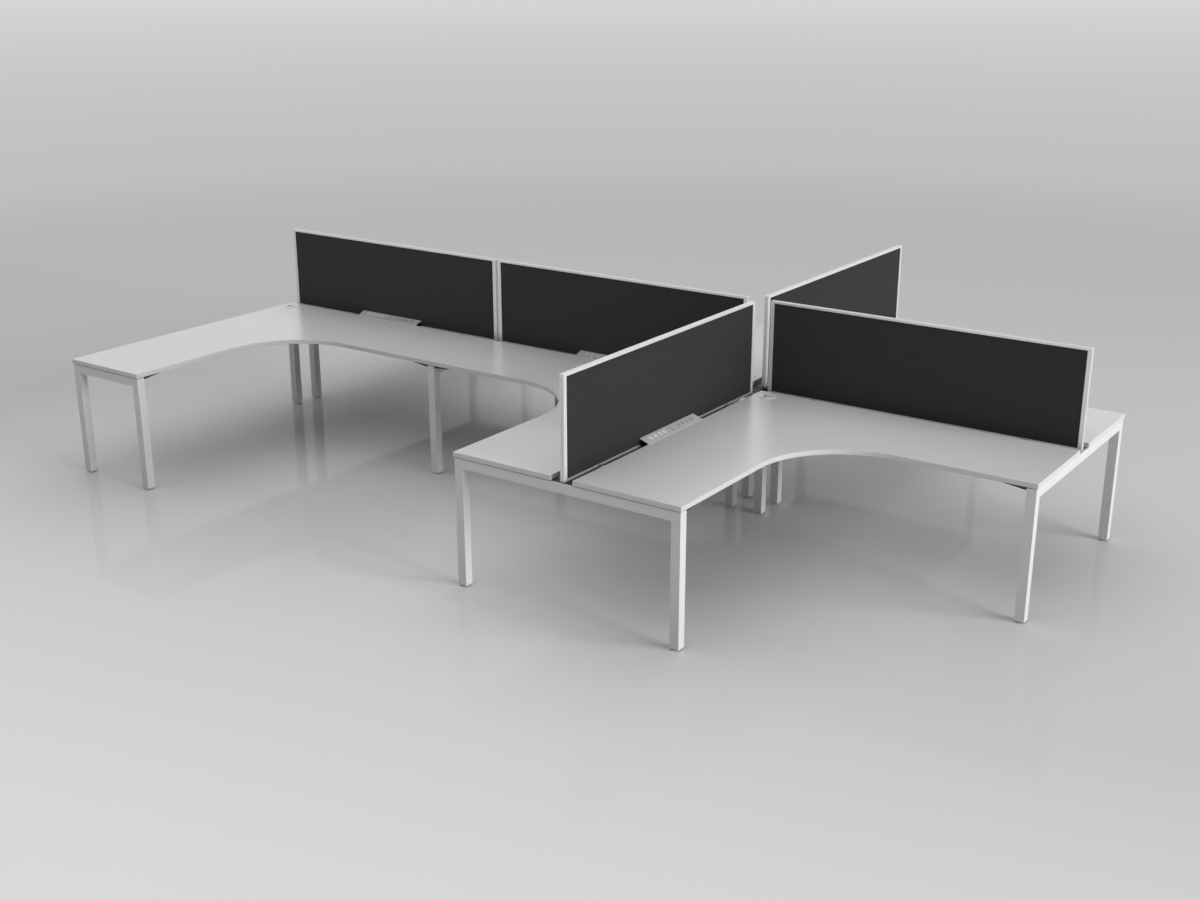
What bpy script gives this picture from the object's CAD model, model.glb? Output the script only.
"""Finishes for a group of six corner desks with fabric screens, set around the packed frame."""

import math

import bpy
from bpy.props import FloatProperty, FloatVectorProperty, PointerProperty
from mathutils import Matrix, Vector
from mathutils.geometry import tessellate_polygon


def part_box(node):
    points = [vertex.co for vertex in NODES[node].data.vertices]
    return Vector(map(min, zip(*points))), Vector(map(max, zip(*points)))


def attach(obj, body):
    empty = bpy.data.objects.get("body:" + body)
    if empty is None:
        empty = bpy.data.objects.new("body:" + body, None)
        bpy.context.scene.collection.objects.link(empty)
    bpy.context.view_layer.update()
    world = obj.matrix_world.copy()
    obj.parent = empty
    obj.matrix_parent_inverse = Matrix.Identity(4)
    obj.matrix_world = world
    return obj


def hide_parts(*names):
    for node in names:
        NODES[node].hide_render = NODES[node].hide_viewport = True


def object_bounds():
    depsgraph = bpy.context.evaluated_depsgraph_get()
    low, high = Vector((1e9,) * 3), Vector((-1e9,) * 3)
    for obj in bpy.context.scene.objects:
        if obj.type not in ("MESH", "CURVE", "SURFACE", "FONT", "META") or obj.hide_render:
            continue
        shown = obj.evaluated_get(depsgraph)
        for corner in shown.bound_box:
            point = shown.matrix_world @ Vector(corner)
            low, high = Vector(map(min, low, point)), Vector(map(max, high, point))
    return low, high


bl_info = {
    "name": "Corner desk workstation",
    "version": (1, 0, 0),
    "blender": (4, 5, 0),
    "location": "View3D > Sidebar > Workstation",
    "description": "Finishes for six corner desks with screens, cable trays and power units",
    "category": "Object",
}

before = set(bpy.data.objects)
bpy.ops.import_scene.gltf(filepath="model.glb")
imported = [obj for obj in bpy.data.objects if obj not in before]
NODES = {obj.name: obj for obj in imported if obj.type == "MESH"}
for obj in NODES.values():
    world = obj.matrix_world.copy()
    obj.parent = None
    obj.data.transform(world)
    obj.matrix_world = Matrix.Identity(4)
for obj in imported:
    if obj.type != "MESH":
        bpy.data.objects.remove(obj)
CAD_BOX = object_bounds()
WORKTOPS = sorted(n for n in NODES if n.startswith("worktop_"))
SCREEN_PANELS = sorted(n for n in NODES if n.startswith("screen_panel_"))
SCREEN_FRAMES = sorted(n for n in NODES if n.startswith("screen_frame_"))
LEG_FRAMES = sorted(n for n in NODES if n.startswith("leg_frame_"))
FEET = sorted(n for n in NODES if n.startswith("foot_"))
PORT_CAPS = sorted(n for n in NODES if n.startswith("port_cap_"))
FIXED_BODY = "frame"

# Vertices of the frame's meshes that lie this close together are one vertex
WELD_GAP = 1e-5
# Edges that turn more than this, in degrees, are rounded on CAD nodes and kept sharp on new pieces
ROUNDED_FROM = 28
SHARP_FROM = 30
CLOTH_SHARP_FROM = 60
# Points of a board's outline are the same up to this decimal, and level within this distance
SAME_POINT_DECIMALS = 5
LEVEL_WITHIN = 1e-4
# A corner moved inwards goes no further than the distance divided by this
SHARPEST_CORNER = 0.1
# Steps in each rounding of an edge band
BAND_STEPS = 4
# Rows and columns of a cloth board's faces, and the shares of its rolled rim where more lines run
CLOTH_ROWS = 8
CLOTH_COLUMNS = 24
RIM_LINES = (0, 0.15, 0.35, 0.6, 0.8)


def size(label, description, default):
    """A length that a user can set, in metres."""
    return FloatProperty(
        name=label, description=description, default=default, min=0, unit="LENGTH"
    )


def colour(label, description, default):
    """A colour that a user can set."""
    return FloatVectorProperty(
        name=label, description=description, default=default, min=0, max=1, subtype="COLOR"
    )


def level(label, description, default, top=1.0):
    """A plain number that a user can set."""
    return FloatProperty(name=label, description=description, default=default, min=0, max=top)


class WorktopSettings(bpy.types.PropertyGroup):
    """Boards and edge bands"""

    laminate: colour("Laminate", "Colour of the boards' faces", (0.71, 0.71, 0.71))
    band: colour("Edge band", "Colour of the bands around the boards", (0.67, 0.67, 0.67))
    band_t: size("Band thickness", "Thickness of the edge bands", 0.002)
    band_round: size("Band rounding", "Radius along the bands' outer edges", 0.0005)
    seam: size("Seam", "Width of the chamfers where board and band meet", 0.0003)
    gloss: level("Roughness", "Roughness of the laminate", 0.26)


class SteelSettings(bpy.types.PropertyGroup):
    """Leg frames, beams, trays, brackets, feet and screws"""

    paint: colour("Frame paint", "Colour of the legs, rails and beams", (0.74, 0.74, 0.74))
    dark: colour("Dark paint", "Colour of trays, brackets and bars", (0.03, 0.03, 0.031))
    zinc: colour("Zinc", "Colour of feet, screws and corner keys", (0.62, 0.62, 0.63))
    plug: colour("Plugs", "Colour of the plugs in the legs", (0.6, 0.6, 0.6))
    tube_round: size("Tube rounding", "Radius along the tubes' edges", 0.003)
    sheet_round: size("Sheet rounding", "Radius along the edges of sheet steel", 0.0006)


class ScreenSettings(bpy.types.PropertyGroup):
    """Screens and their clamps"""

    cloth: colour("Cloth", "Colour of the screens' cloth", (0.02, 0.0194, 0.018))
    cloth_light: colour(
        "Cloth highlights", "Colour of the lighter threads", (0.034, 0.0328, 0.0308)
    )
    metal: colour("Aluminium", "Colour of the screens' frames", (0.86, 0.86, 0.86))
    clamp: colour("Clamps", "Colour of the screens' clamps", (0.3, 0.3, 0.3))
    pitch: size("Thread pitch", "Distance between threads of the cloth", 0.0014)
    dip: size("Edge dip", "How far the cloth draws in at the frame", 0.0022)
    roll: size("Edge roll", "Width over which the cloth draws in", 0.007)
    bar_round: size("Bar rounding", "Radius along the frames' edges", 0.0004)


class FittingSettings(bpy.types.PropertyGroup):
    """Power units and cable ports"""

    cover: colour("Covers", "Colour of the power units' covers", (0.57, 0.57, 0.57))
    outlet: colour("Outlets", "Colour of the outlets", (0.75, 0.75, 0.745))
    data: colour("Data ports", "Colour of the data ports", (0.38, 0.38, 0.38))
    liner: colour("Port liners", "Colour of the cable ports' liners", (0.88, 0.88, 0.88))
    cap: colour("Port caps", "Colour of the cable ports' caps", (0.62, 0.62, 0.62))
    edge_round: size("Edge rounding", "Radius along the fittings' edges", 0.0004)


class StageSettings(bpy.types.PropertyGroup):
    """Camera, floor and light"""

    lens: FloatProperty(
        name="Lens", description="Focal length", default=45.0116, min=10, unit="CAMERA"
    )
    place: FloatVectorProperty(
        name="Camera", description="Place of the camera",
        default=(4.8546, -7.179, 3.1286), subtype="TRANSLATION",
    )
    turn: FloatVectorProperty(
        name="Aim", description="Turn to the left, tilt down and roll of the camera",
        default=(0.6122, 0.3301, 0.0007), subtype="EULER",
    )
    floor: colour("Floor", "Colour of the floor under the desks", (0.65, 0.65, 0.65))
    floor_pale: colour("Pale floor", "Colour of the floor in front of the desks", (1.0, 1.0, 1.0))
    floor_far: colour("Far floor", "Colour of the floor all round the desks", (0.51, 0.51, 0.51))
    backdrop: colour("Backdrop", "Colour behind everything", (0.87, 0.865, 0.865))
    sky: level("Room light", "Strength of the even light from all around", 0.02, 10)
    side: level("Side light", "Power of the light at the right", 2400, 100000)
    top: level("Top light", "Power of the light above", 1020, 100000)


class Surface:
    """A new material with a glossy shader, and short ways to add texture nodes to it."""

    def __init__(self, name, **sockets):
        self.material = bpy.data.materials.new(name)
        self.material.use_nodes = True
        self.tree = self.material.node_tree
        self.shader = self.tree.nodes["Principled BSDF"]
        for socket, value in sockets.items():
            self.shader.inputs[socket.replace("_", " ")].default_value = value
        self.place = self.node("ShaderNodeTexCoord").outputs["Object"]

    def node(self, kind, settings=(), **inputs):
        """Adds a node. Inputs are values or the outputs of other nodes."""
        made = self.tree.nodes.new(kind)
        for key, value in dict(settings).items():
            setattr(made, key, value)
        for key, value in inputs.items():
            socket = made.inputs[int(key[1:])] if key[0] == "_" else made.inputs[key]
            if isinstance(value, bpy.types.NodeSocket):
                self.tree.links.new(value, socket)
            else:
                socket.default_value = value
        return made

    def math(self, operation, *values):
        """A math node's result."""
        inputs = {f"_{i}": v for i, v in enumerate(values)}
        return self.node("ShaderNodeMath", {"operation": operation}, **inputs).outputs[0]

    def noise(self, grain, stretch=(1, 1, 1), detail=2.0):
        """Soft noise whose grains have about this size in metres."""
        place = self.node("ShaderNodeMapping", Vector=self.place, Scale=stretch).outputs[0]
        made = self.node("ShaderNodeTexNoise", Vector=place, Scale=1 / grain, Detail=detail)
        return made.outputs["Fac"]

    def between(self, factor, low, high, start=0.3, end=0.7):
        """The factor's middle stretch, mapped to a range of numbers."""
        return self.node(
            "ShaderNodeMapRange", Value=factor,
            **{"From Min": start, "From Max": end, "To Min": low, "To Max": high},
        ).outputs[0]

    def blend(self, factor, first, second):
        """The colour between two colours."""
        mix = self.node("ShaderNodeMix", {"data_type": "RGBA"}, _0=factor)
        mix.inputs[6].default_value = (*first, 1)
        mix.inputs[7].default_value = (*second, 1)
        return mix.outputs[2]

    def tint(self, factor, first, second):
        """Colours the surface between two colours."""
        mixed = self.blend(factor, first, second)
        self.tree.links.new(mixed, self.shader.inputs["Base Color"])

    def cloud(self, tone, grain, darkest, lightest):
        """Colours the surface in soft clouds between two shares of a colour."""
        self.tint(self.noise(grain), shaded(tone, darkest), shaded(tone, lightest))

    def roughen(self, grain, smoothest, roughest):
        """Varies the roughness in soft clouds between two values."""
        varied = self.between(self.noise(grain), smoothest, roughest)
        self.tree.links.new(varied, self.shader.inputs["Roughness"])

    def bump(self, height, depth, strength=1.0):
        """Raises the surface by a height map of this depth in metres."""
        made = self.node("ShaderNodeBump", Height=height, Distance=depth, Strength=strength)
        self.tree.links.new(made.outputs[0], self.shader.inputs["Normal"])


def shaded(tone, share):
    """A colour made lighter or darker by a share."""
    return tuple(min(1.0, channel * share) for channel in tone)


def board_laminate(settings):
    """Satin laminate with a fine pearl texture."""
    gloss = settings.gloss
    surface = Surface("board_laminate", Roughness=gloss, IOR=1.9)
    surface.cloud(settings.laminate, grain=0.35, darkest=0.985, lightest=1.01)
    surface.roughen(grain=0.5, smoothest=gloss - 0.01, roughest=gloss + 0.01)
    surface.bump(surface.noise(grain=0.0012), depth=0.000003)
    return surface.material


def band_plastic(settings):
    """Moulded edge band, a little duller than the boards."""
    surface = Surface("band_plastic", Roughness=0.38, IOR=1.5)
    surface.cloud(settings.band, grain=0.05, darkest=0.96, lightest=1.01)
    surface.roughen(grain=0.006, smoothest=0.34, roughest=0.44)
    surface.bump(surface.noise(grain=0.0012), depth=0.00001)
    return surface.material


def powder_coat(name, tone, roughness, grain=0.0016, depth=0.00004):
    """Powder coat with the slight waviness of baked paint."""
    surface = Surface(name, Roughness=roughness, IOR=1.5)
    surface.cloud(tone, grain=0.12, darkest=0.96, lightest=1.03)
    surface.roughen(grain=0.03, smoothest=roughness - 0.04, roughest=roughness + 0.05)
    surface.bump(surface.noise(grain, detail=3), depth)
    return surface.material


def satin_aluminium(name, tone, roughness=0.42, metallic=0.35):
    """Anodised aluminium with a fine matt grain."""
    surface = Surface(name, Metallic=metallic, Roughness=roughness)
    surface.cloud(tone, grain=0.08, darkest=0.95, lightest=1.03)
    surface.roughen(grain=0.004, smoothest=roughness - 0.05, roughest=roughness + 0.06)
    surface.bump(surface.noise(grain=0.0004), depth=0.000006)
    return surface.material


def zinc_plate(settings):
    """Zinc plate with soft crystals and a faint turned grain."""
    surface = Surface("zinc_plate", Metallic=1.0, Roughness=0.3)
    surface.cloud(settings.zinc, grain=0.003, darkest=0.85, lightest=1.08)
    surface.roughen(grain=0.002, smoothest=0.24, roughest=0.42)
    surface.bump(surface.noise(grain=0.0008, stretch=(1, 1, 8)), depth=0.00002)
    return surface.material


def moulded_plastic(name, tone, roughness, grain=0.0008, depth=0.00002):
    """Moulded plastic with a fine spark-eroded texture."""
    surface = Surface(name, Roughness=roughness, IOR=1.46)
    surface.cloud(tone, grain=0.02, darkest=0.96, lightest=1.03)
    surface.roughen(grain=0.003, smoothest=roughness - 0.04, roughest=roughness + 0.05)
    surface.bump(surface.noise(grain), depth)
    return surface.material


def screen_cloth(settings):
    """Plain woven cloth: threads that pass over and under each other, in mixed yarns."""
    surface = Surface("screen_cloth", Roughness=0.9, Sheen_Weight=0.06, Sheen_Roughness=0.5)
    axes = surface.node("ShaderNodeSeparateXYZ", Vector=surface.place)
    across = surface.math("ADD", axes.outputs[0], axes.outputs[1])
    turn = math.pi / settings.pitch
    warp = surface.math("SINE", surface.math("MULTIPLY", across, turn))
    weft = surface.math("SINE", surface.math("MULTIPLY", axes.outputs[2], turn))
    over = surface.math("MULTIPLY", warp, weft)
    ridge = surface.math("ADD", surface.math("ABSOLUTE", warp), surface.math("ABSOLUTE", weft))
    height = surface.math("ADD", surface.math("MULTIPLY", over, 0.5), ridge)
    yarn = surface.noise(grain=settings.pitch * 2, stretch=(1, 1, 0.2), detail=3)
    slub = surface.noise(grain=settings.pitch * 2, stretch=(0.2, 0.2, 1), detail=3)
    mixed = surface.math("MULTIPLY", surface.between(yarn, 0, 1), surface.between(slub, 0, 1))
    surface.tint(mixed, settings.cloth, settings.cloth_light)
    surface.bump(height, depth=settings.pitch / 6, strength=0.6)
    return surface.material


def dress(names, material):
    """Gives CAD nodes a material in every slot."""
    for name in names:
        slots = NODES[name].material_slots
        if not slots:
            NODES[name].data.materials.append(material)
        for slot in slots:
            slot.material = material


def soften(names, width, segments=2):
    """Rounds the sharp edges of CAD nodes, without a change to their meshes."""
    for name in names:
        weld = NODES[name].modifiers.new("weld", "WELD")
        weld.merge_threshold = WELD_GAP
        bevel = NODES[name].modifiers.new("rounding", "BEVEL")
        bevel.width = width
        bevel.segments = segments
        bevel.limit_method = "ANGLE"
        bevel.angle_limit = math.radians(ROUNDED_FROM)
        bevel.harden_normals = True


def add_piece(name, points, faces, material, slot, body=FIXED_BODY, sharp_from=SHARP_FROM):
    """A new mesh piece on a CAD body. Edges that turn more than sharp_from stay sharp."""
    mesh = bpy.data.meshes.new(name)
    mesh.from_pydata([tuple(p) for p in points], [], faces)
    mesh.validate()
    mesh.shade_smooth()
    mesh.set_sharp_from_angle(angle=math.radians(sharp_from))
    mesh.materials.append(material)
    piece = bpy.data.objects.new(name, mesh)
    bpy.context.scene.collection.objects.link(piece)
    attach(piece, body)
    return piece


def top_outlines(node):
    """Closed outlines of a board's upper face, the outer one first, each turning left."""
    mesh = NODES[node].data
    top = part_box(node)[1].z
    rounded = [tuple(round(c, SAME_POINT_DECIMALS) for c in v.co) for v in mesh.vertices]
    edges = []
    for face in mesh.polygons:
        corners = [rounded[i] for i in face.vertices]
        if all(abs(c[2] - top) < LEVEL_WITHIN for c in corners):
            edges += zip(corners, corners[1:] + corners[:1])
    both_ways = set(edges)
    following = {a: b for a, b in edges if (b, a) not in both_ways}
    outlines = []
    while following:
        start = next(iter(following))
        line = [start]
        while following[line[-1]] != start:
            line.append(following.pop(line[-1]))
        following.pop(line[-1])
        outlines.append([Vector(p[:2]) for p in line])
    outlines.sort(key=lambda line: -abs(area(line)))
    return [line if area(line) > 0 else line[::-1] for line in outlines]


def area(line):
    """Signed area inside a closed outline, positive where it turns left."""
    return sum(a.x * b.y - b.x * a.y for a, b in zip(line, line[1:] + line[:1])) / 2


def moved_in(line, distance):
    """A left-turning outline moved inwards by a distance, with its corners kept sharp."""
    result = []
    for before, here, after in zip(line[-1:] + line[:-1], line, line[1:] + line[:1]):
        a, b = (here - before).normalized(), (after - here).normalized()
        left_a, left_b = Vector((-a.y, a.x)), Vector((-b.y, b.x))
        along = (left_a + left_b).normalized()
        result.append(here + along * distance / max(along.dot(left_a), SHARPEST_CORNER))
    return result


def swept(line, section):
    """Points and faces of a closed section swept round an outline.

    The section's points are (distance inwards, height)."""
    rings = [moved_in(line, inwards) for inwards, _ in section]
    points = [(*ring[i], z) for i in range(len(line)) for ring, (_, z) in zip(rings, section)]
    n, m = len(line), len(section)
    faces = [
        (i * m + j, (i + 1) % n * m + j, (i + 1) % n * m + (j + 1) % m, i * m + (j + 1) % m)
        for i in range(n) for j in range(m)
    ]
    return points, faces


def plate(outlines, low, high, chamfer):
    """Points and faces of a flat board with holes, its rims chamfered."""
    levels = [(chamfer, low), (0, low + chamfer), (0, high - chamfer), (chamfer, high)]
    points, faces, caps = [], [], {low: [], high: []}
    for number, line in enumerate(outlines):
        into = 1 if number == 0 else -1
        start, n = len(points), len(line)
        for inwards, z in levels:
            points += [(*p, z) for p in moved_in(line, into * inwards)]
        for row in range(len(levels) - 1):
            for i in range(n):
                a, b = start + row * n + i, start + row * n + (i + 1) % n
                quad = (a, b, b + n, a + n)
                faces.append(quad if number == 0 else quad[::-1])
        caps[low].append(range(start, start + n))
        caps[high].append(range(start + (len(levels) - 1) * n, start + len(levels) * n))
    for z, loops in caps.items():
        order = [i for loop in loops for i in loop]
        flat = tessellate_polygon([[Vector(points[i]) for i in loop] for loop in loops])
        for triangle in flat:
            a, b, c = (Vector(points[order[i]]) for i in triangle)
            up = (b - a).cross(c - a).z > 0
            face = tuple(order[i] for i in triangle)
            faces.append(face if up == (z == high) else face[::-1])
    return points, faces


def rounded_band(depth, low, high, radius, seam):
    """Section of an edge band: rounded outside, with fine chamfers where it meets the board."""
    turns = [math.pi / 2 * i / BAND_STEPS for i in range(BAND_STEPS + 1)]
    lower = [(radius - radius * math.sin(a), low + radius - radius * math.cos(a)) for a in turns]
    upper = [(d, low + high - z) for d, z in reversed(lower)]
    inner = [(depth - seam, high), (depth, high - seam), (depth, low + seam), (depth - seam, low)]
    return lower + upper + inner


def wrapped_board(low, high, dip, roll):
    """Points and faces of a board wrapped in cloth that draws in at its rim on both faces."""
    long_axis = 0 if high.x - low.x > high.y - low.y else 1
    thin_axis = 1 - long_axis
    half = (high[thin_axis] - low[thin_axis]) / 2
    middle = (high[thin_axis] + low[thin_axis]) / 2

    def stations(start, end, count):
        inner = [start + roll + (end - start - 2 * roll) * i / count for i in range(count + 1)]
        near = [start + roll * share for share in RIM_LINES]
        return near + inner + [start + end - p for p in reversed(near)]

    def depth(s, z):
        near = min(s - low[long_axis], high[long_axis] - s, z - low.z, high.z - z)
        share = 1 - min(near / roll, 1)
        return half - dip * share * share

    rows = stations(low.z, high.z, CLOTH_ROWS)
    columns = stations(low[long_axis], high[long_axis], CLOTH_COLUMNS)
    points, index = [], {}
    for side in (-1, 1):
        for r, z in enumerate(rows):
            for c, s in enumerate(columns):
                point = [0, 0, z]
                point[long_axis] = s
                point[thin_axis] = middle + side * depth(s, z)
                index[side, r, c] = len(points)
                points.append(point)
    faces = []
    last_r, last_c = len(rows) - 1, len(columns) - 1
    for side in (-1, 1):
        for r in range(last_r):
            for c in range(last_c):
                quad = [index[side, r, c], index[side, r, c + 1],
                        index[side, r + 1, c + 1], index[side, r + 1, c]]
                faces.append(quad if side == (-1 if long_axis == 0 else 1) else quad[::-1])
    rim = [(0, c) for c in range(last_c)] + [(r, last_c) for r in range(last_r)]
    rim += [(last_r, c) for c in range(last_c, 0, -1)] + [(r, 0) for r in range(last_r, 0, -1)]
    for here, after in zip(rim, rim[1:] + rim[:1]):
        quad = [index[(-1, *here)], index[(1, *here)], index[(1, *after)], index[(-1, *after)]]
        faces.append(quad if long_axis == 0 else quad[::-1])
    return points, faces


class WORKSTATION_OT_worktops(bpy.types.Operator):
    """Makes each worktop as a laminated board with an edge band"""

    bl_idname = "workstation.worktops"
    bl_label = "Worktops"

    def execute(self, context):
        settings = context.scene.worktop_settings
        laminate, band = board_laminate(settings), band_plastic(settings)
        for node in WORKTOPS:
            low, high = (corner.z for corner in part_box(node))
            outer, *holes = top_outlines(node)
            number = node.rsplit("_", 1)[1]
            inner = moved_in(outer, settings.band_t)
            board = add_piece(
                f"worktop_board_{number}", *plate([inner, *holes], low, high, settings.seam),
                laminate, "worktop_laminate",
            )
            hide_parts(node)
            section = rounded_band(settings.band_t, low, high, settings.band_round, settings.seam)
            add_piece(f"edge_band_{number}", *swept(outer, section), band, "worktop_laminate")
        return {"FINISHED"}


class WORKSTATION_OT_leg_frames(bpy.types.Operator):
    """Paints the leg frames, corner legs and beams, and rounds their tubes"""

    bl_idname = "workstation.leg_frames"
    bl_label = "Leg frames and beams"

    def execute(self, context):
        settings = context.scene.steel_settings
        paint = powder_coat("frame_coat", settings.paint, roughness=0.34)
        dress([*LEG_FRAMES, "corner_legs", "beams"], paint)
        soften([*LEG_FRAMES, "corner_legs"], settings.tube_round, segments=3)
        soften(["beams"], settings.sheet_round)
        return {"FINISHED"}


class WORKSTATION_OT_feet(bpy.types.Operator):
    """Finishes the plugs in the legs and the screw-in feet"""

    bl_idname = "workstation.feet"
    bl_label = "Plugs and feet"

    def execute(self, context):
        settings = context.scene.steel_settings
        dress(["leg_plugs"], moulded_plastic("plug_plastic", settings.plug, roughness=0.5))
        soften(["leg_plugs"], settings.sheet_round)
        dress(FEET, zinc_plate(settings))
        return {"FINISHED"}


class WORKSTATION_OT_under_frame(bpy.types.Operator):
    """Finishes the cable trays, tie bars, brackets, clamps, keys and screws"""

    bl_idname = "workstation.under_frame"
    bl_label = "Trays, bars and brackets"

    def execute(self, context):
        settings = context.scene.steel_settings
        dark = powder_coat("dark_coat", settings.dark, roughness=0.45, grain=0.0008, depth=0.00006)
        dress(["cable_trays", "power_trays", "tie_bars", "tapered_brackets"], dark)
        soften(["cable_trays", "tie_bars", "tapered_brackets"], settings.sheet_round)
        zinc = bpy.data.materials.get("zinc_plate") or zinc_plate(settings)
        dress(["screws", "screen_corner_keys"], zinc)
        return {"FINISHED"}


class WORKSTATION_OT_screens(bpy.types.Operator):
    """Makes the cloth-covered screens and finishes their aluminium frames"""

    bl_idname = "workstation.screens"
    bl_label = "Screens"

    def execute(self, context):
        settings = context.scene.screen_settings
        dress(SCREEN_FRAMES, satin_aluminium("screen_aluminium", settings.metal))
        dress(["screen_clamps"], satin_aluminium("clamp_aluminium", settings.clamp))
        soften([*SCREEN_FRAMES, "screen_clamps"], settings.bar_round, segments=1)
        cloth = screen_cloth(settings)
        for node in SCREEN_PANELS:
            low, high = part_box(node)
            number = node.rsplit("_", 1)[1]
            board = add_piece(
                f"cloth_board_{number}", *wrapped_board(low, high, settings.dip, settings.roll),
                cloth, "screen_fabric", sharp_from=CLOTH_SHARP_FROM,
            )
            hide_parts(node)
        return {"FINISHED"}


class WORKSTATION_OT_power_units(bpy.types.Operator):
    """Finishes the power units: covers, outlets and data ports"""

    bl_idname = "workstation.power_units"
    bl_label = "Power units"

    def execute(self, context):
        settings = context.scene.fitting_settings
        cover = satin_aluminium("cover_aluminium", settings.cover, roughness=0.4, metallic=0.3)
        outlet = moulded_plastic(
            "outlet_plastic", settings.outlet, roughness=0.22, grain=0.002, depth=0.00001
        )
        dress(["power_covers"], cover)
        dress(["power_outlets"], outlet)
        dress(["data_ports"], moulded_plastic("data_port_plastic", settings.data, roughness=0.45))
        soften(["power_outlets", "data_ports"], settings.edge_round, segments=1)
        return {"FINISHED"}


class WORKSTATION_OT_cable_ports(bpy.types.Operator):
    """Finishes the liners and caps of the cable ports"""

    bl_idname = "workstation.cable_ports"
    bl_label = "Cable ports"

    def execute(self, context):
        settings = context.scene.fitting_settings
        liner = moulded_plastic(
            "liner_plastic", settings.liner, roughness=0.25, grain=0.002, depth=0.000005
        )
        dress(["port_liners"], liner)
        dress(PORT_CAPS, moulded_plastic("cap_plastic", settings.cap, roughness=0.42))
        soften(["port_liners", *PORT_CAPS], settings.edge_round)
        return {"FINISHED"}


class WORKSTATION_OT_stage(bpy.types.Operator):
    """Makes the camera, the floor and the studio light"""

    bl_idname = "workstation.stage"
    bl_label = "Stage"

    def execute(self, context):
        settings = context.scene.stage_settings
        context.scene.camera = stage_camera(settings)
        stage_floor(settings)
        stage_light(settings)
        stage_world(context.scene, settings)
        context.scene.view_settings.view_transform = "Standard"
        return {"FINISHED"}


# Width of the camera's sensor in millimetres
SENSOR_WIDTH = 36
# Half of the floor's side
FLOOR_REACH = 300.0
# Along Y, where the lit floor is pale in front of the desks, and where that has ended
FRONT_FADE = (-5.0, -1.5)
# Distances from the middle over which the lit floor gives way to the plain one
PLAIN_FADE = (4.5, 13.0)
# Distance at which the plain floor starts to pass into the backdrop, and how slowly it does
PALE_FROM = 10.0
PALE_POWER = 1.5
# Places of the lamps' middles, and their widths and heights
SIDE_PLACE, SIDE_SIZE = (17, 0, 5), (10, 6)
TOP_PLACE, TOP_SIZE = (-1.5, -0.5, 9), (20, 16)


def stage_camera(settings):
    """The camera, at the height and angle of a person who looks down at the desks."""
    left, down, roll = settings.turn
    heading = Vector((-math.sin(left), math.cos(left), 0))
    ahead = heading * math.cos(down) - Vector((0, 0, math.sin(down)))
    right = Vector((math.cos(left), math.sin(left), 0))
    up = right.cross(ahead)
    side = right * math.cos(roll) - up * math.sin(roll)
    above = right * math.sin(roll) + up * math.cos(roll)
    data = bpy.data.cameras.new("camera")
    data.lens = settings.lens
    data.sensor_width = SENSOR_WIDTH
    camera = bpy.data.objects.new("camera", data)
    turned = Matrix((side, above, -ahead)).transposed().to_4x4()
    camera.matrix_world = Matrix.Translation(settings.place) @ turned
    bpy.context.scene.collection.objects.link(camera)
    return camera


def stage_floor(settings):
    """A wide glossy floor that keeps the shadows near the desks and is plain all round them."""
    r = FLOOR_REACH
    mesh = bpy.data.meshes.new("floor")
    mesh.from_pydata([(-r, -r, 0), (r, -r, 0), (r, r, 0), (-r, r, 0)], [], [(0, 1, 2, 3)])
    floor = bpy.data.objects.new("floor", mesh)
    bpy.context.scene.collection.objects.link(floor)
    surface = Surface("stage_floor", Roughness=0.05, IOR=1.12)
    axes = surface.node("ShaderNodeSeparateXYZ", Vector=surface.place)
    near = surface.between(axes.outputs[1], 1, 0, *FRONT_FADE)
    surface.tint(near, settings.floor, settings.floor_pale)
    length = surface.node("ShaderNodeVectorMath", {"operation": "LENGTH"}, _0=surface.place)
    distance = length.outputs["Value"]
    decades = surface.math("LOGARITHM", distance, 10)
    far = surface.between(decades, 0, 1, math.log10(PALE_FROM), math.log10(r))
    pale = surface.math("POWER", far, PALE_POWER)
    plain = surface.blend(pale, settings.floor_far, settings.backdrop)
    glow = surface.node("ShaderNodeEmission", Color=plain)
    seen = surface.math(
        "MULTIPLY", seen_or_mirrored(surface.tree), surface.between(distance, 0, 1, *PLAIN_FADE)
    )
    mix = surface.node(
        "ShaderNodeMixShader", Fac=seen, _1=surface.shader.outputs[0], _2=glow.outputs[0]
    )
    out = surface.tree.nodes["Material Output"]
    surface.tree.links.new(mix.outputs[0], out.inputs["Surface"])
    mesh.materials.append(surface.material)


def seen_or_mirrored(tree):
    """One for camera, mirrored and transmitted rays, and zero for the light."""
    rays = tree.nodes.new("ShaderNodeLightPath").outputs
    either = rays["Is Camera Ray"]
    for other in (rays["Is Glossy Ray"], rays["Is Transmission Ray"]):
        larger = tree.nodes.new("ShaderNodeMath")
        larger.operation = "MAXIMUM"
        tree.links.new(either, larger.inputs[0])
        tree.links.new(other, larger.inputs[1])
        either = larger.outputs[0]
    return either


def stage_light(settings):
    """A large soft light far to the right of the desks and a wide one above them."""
    low, high = CAD_BOX
    aim = Vector((0, 0, (low.z + high.z) / 2))
    lamps = (
        ("side_light", settings.side, SIDE_PLACE, SIDE_SIZE),
        ("top_light", settings.top, TOP_PLACE, TOP_SIZE),
    )
    for name, power, place, (width, height) in lamps:
        data = bpy.data.lights.new(name, "AREA")
        data.shape = "RECTANGLE"
        data.energy = power
        data.size, data.size_y = width, height
        lamp = bpy.data.objects.new(name, data)
        turned = (Vector(place) - aim).to_track_quat("Z", "Y").to_matrix().to_4x4()
        lamp.matrix_world = Matrix.Translation(place) @ turned
        lamp.visible_camera = lamp.visible_glossy = False
        bpy.context.scene.collection.objects.link(lamp)


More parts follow.
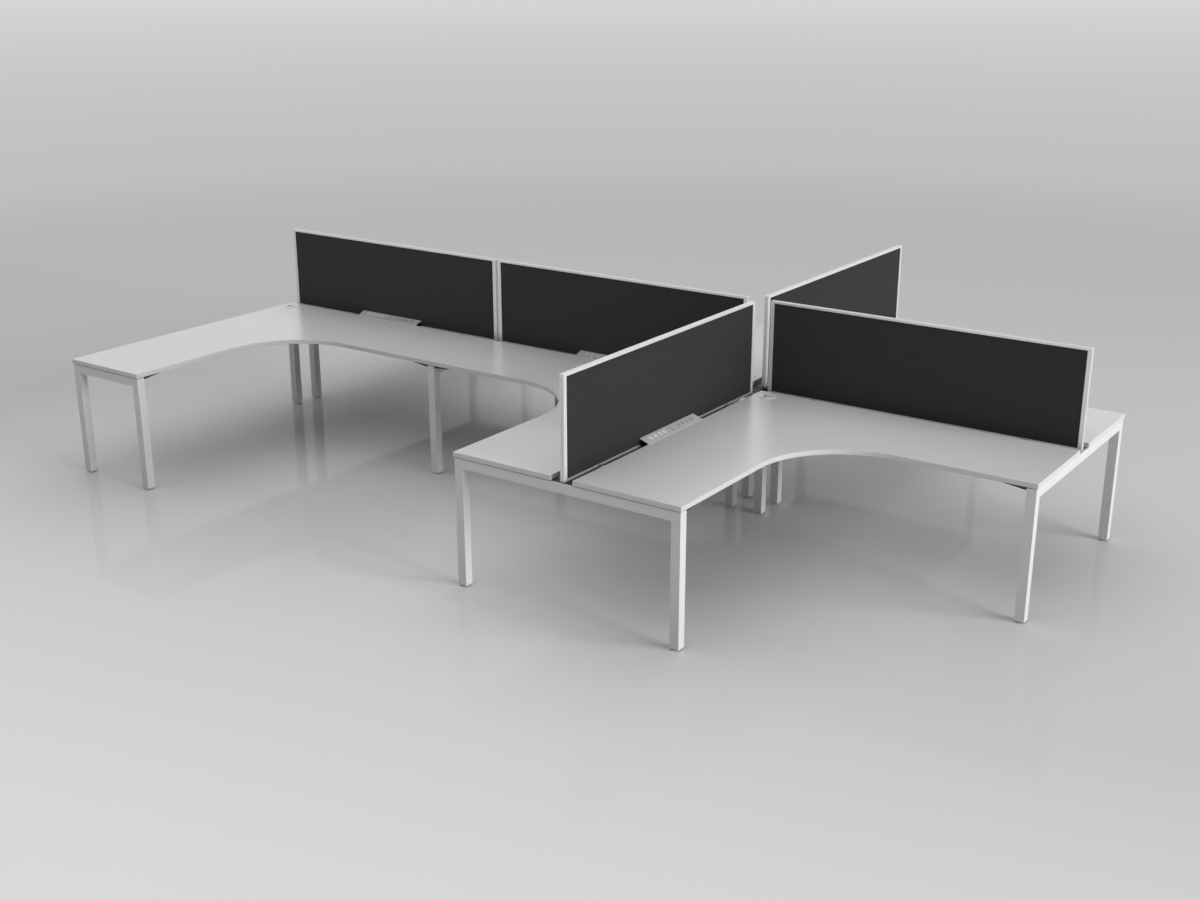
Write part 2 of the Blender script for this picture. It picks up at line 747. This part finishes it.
def stage_world(scene, settings):
    """Even light from all around, and a plain backdrop where it is seen or mirrored."""
    world = bpy.data.worlds.new("studio")
    world.use_nodes = True
    tree = world.node_tree
    tree.nodes.clear()
    light = tree.nodes.new("ShaderNodeBackground")
    light.inputs["Color"].default_value = (1, 1, 1, 1)
    light.inputs["Strength"].default_value = settings.sky
    plain = tree.nodes.new("ShaderNodeBackground")
    plain.inputs["Color"].default_value = (*settings.backdrop, 1)
    mix = tree.nodes.new("ShaderNodeMixShader")
    out = tree.nodes.new("ShaderNodeOutputWorld")
    tree.links.new(seen_or_mirrored(tree), mix.inputs[0])
    tree.links.new(light.outputs[0], mix.inputs[1])
    tree.links.new(plain.outputs[0], mix.inputs[2])
    tree.links.new(mix.outputs[0], out.inputs["Surface"])
    scene.world = world


SETTINGS = {
    "worktop_settings": WorktopSettings,
    "steel_settings": SteelSettings,
    "screen_settings": ScreenSettings,
    "fitting_settings": FittingSettings,
    "stage_settings": StageSettings,
}
OPERATORS = (
    WORKSTATION_OT_worktops,
    WORKSTATION_OT_leg_frames,
    WORKSTATION_OT_feet,
    WORKSTATION_OT_under_frame,
    WORKSTATION_OT_screens,
    WORKSTATION_OT_power_units,
    WORKSTATION_OT_cable_ports,
    WORKSTATION_OT_stage,
)


class WORKSTATION_PT_panel(bpy.types.Panel):
    """Sizes, colours and steps of the workstation"""

    bl_idname = "WORKSTATION_PT_panel"
    bl_label = "Workstation"
    bl_space_type = "VIEW_3D"
    bl_region_type = "UI"
    bl_category = "Workstation"

    def draw(self, context):
        for name, group in SETTINGS.items():
            box = self.layout.box()
            box.label(text=group.__doc__)
            for prop in group.__annotations__:
                box.prop(getattr(context.scene, name), prop)
        for operator in OPERATORS:
            self.layout.operator(operator.bl_idname)


def register():
    """Makes the settings, the operators and the panel known to Blender."""
    for name, group in SETTINGS.items():
        bpy.utils.register_class(group)
        setattr(bpy.types.Scene, name, PointerProperty(type=group))
    for operator in OPERATORS:
        bpy.utils.register_class(operator)
    bpy.utils.register_class(WORKSTATION_PT_panel)


def unregister():
    """Takes the panel, the operators and the settings away again."""
    bpy.utils.unregister_class(WORKSTATION_PT_panel)
    for operator in reversed(OPERATORS):
        bpy.utils.unregister_class(operator)
    for name, group in reversed(SETTINGS.items()):
        delattr(bpy.types.Scene, name)
        bpy.utils.unregister_class(group)


def main():
    """Registers the tools, makes every piece in order and notes the sizes."""
    register()
    bpy.ops.workstation.worktops()
    bpy.ops.workstation.leg_frames()
    bpy.ops.workstation.feet()
    bpy.ops.workstation.under_frame()
    bpy.ops.workstation.screens()
    bpy.ops.workstation.power_units()
    bpy.ops.workstation.cable_ports()
    bpy.ops.workstation.stage()


if __name__ == "__main__":
    main()
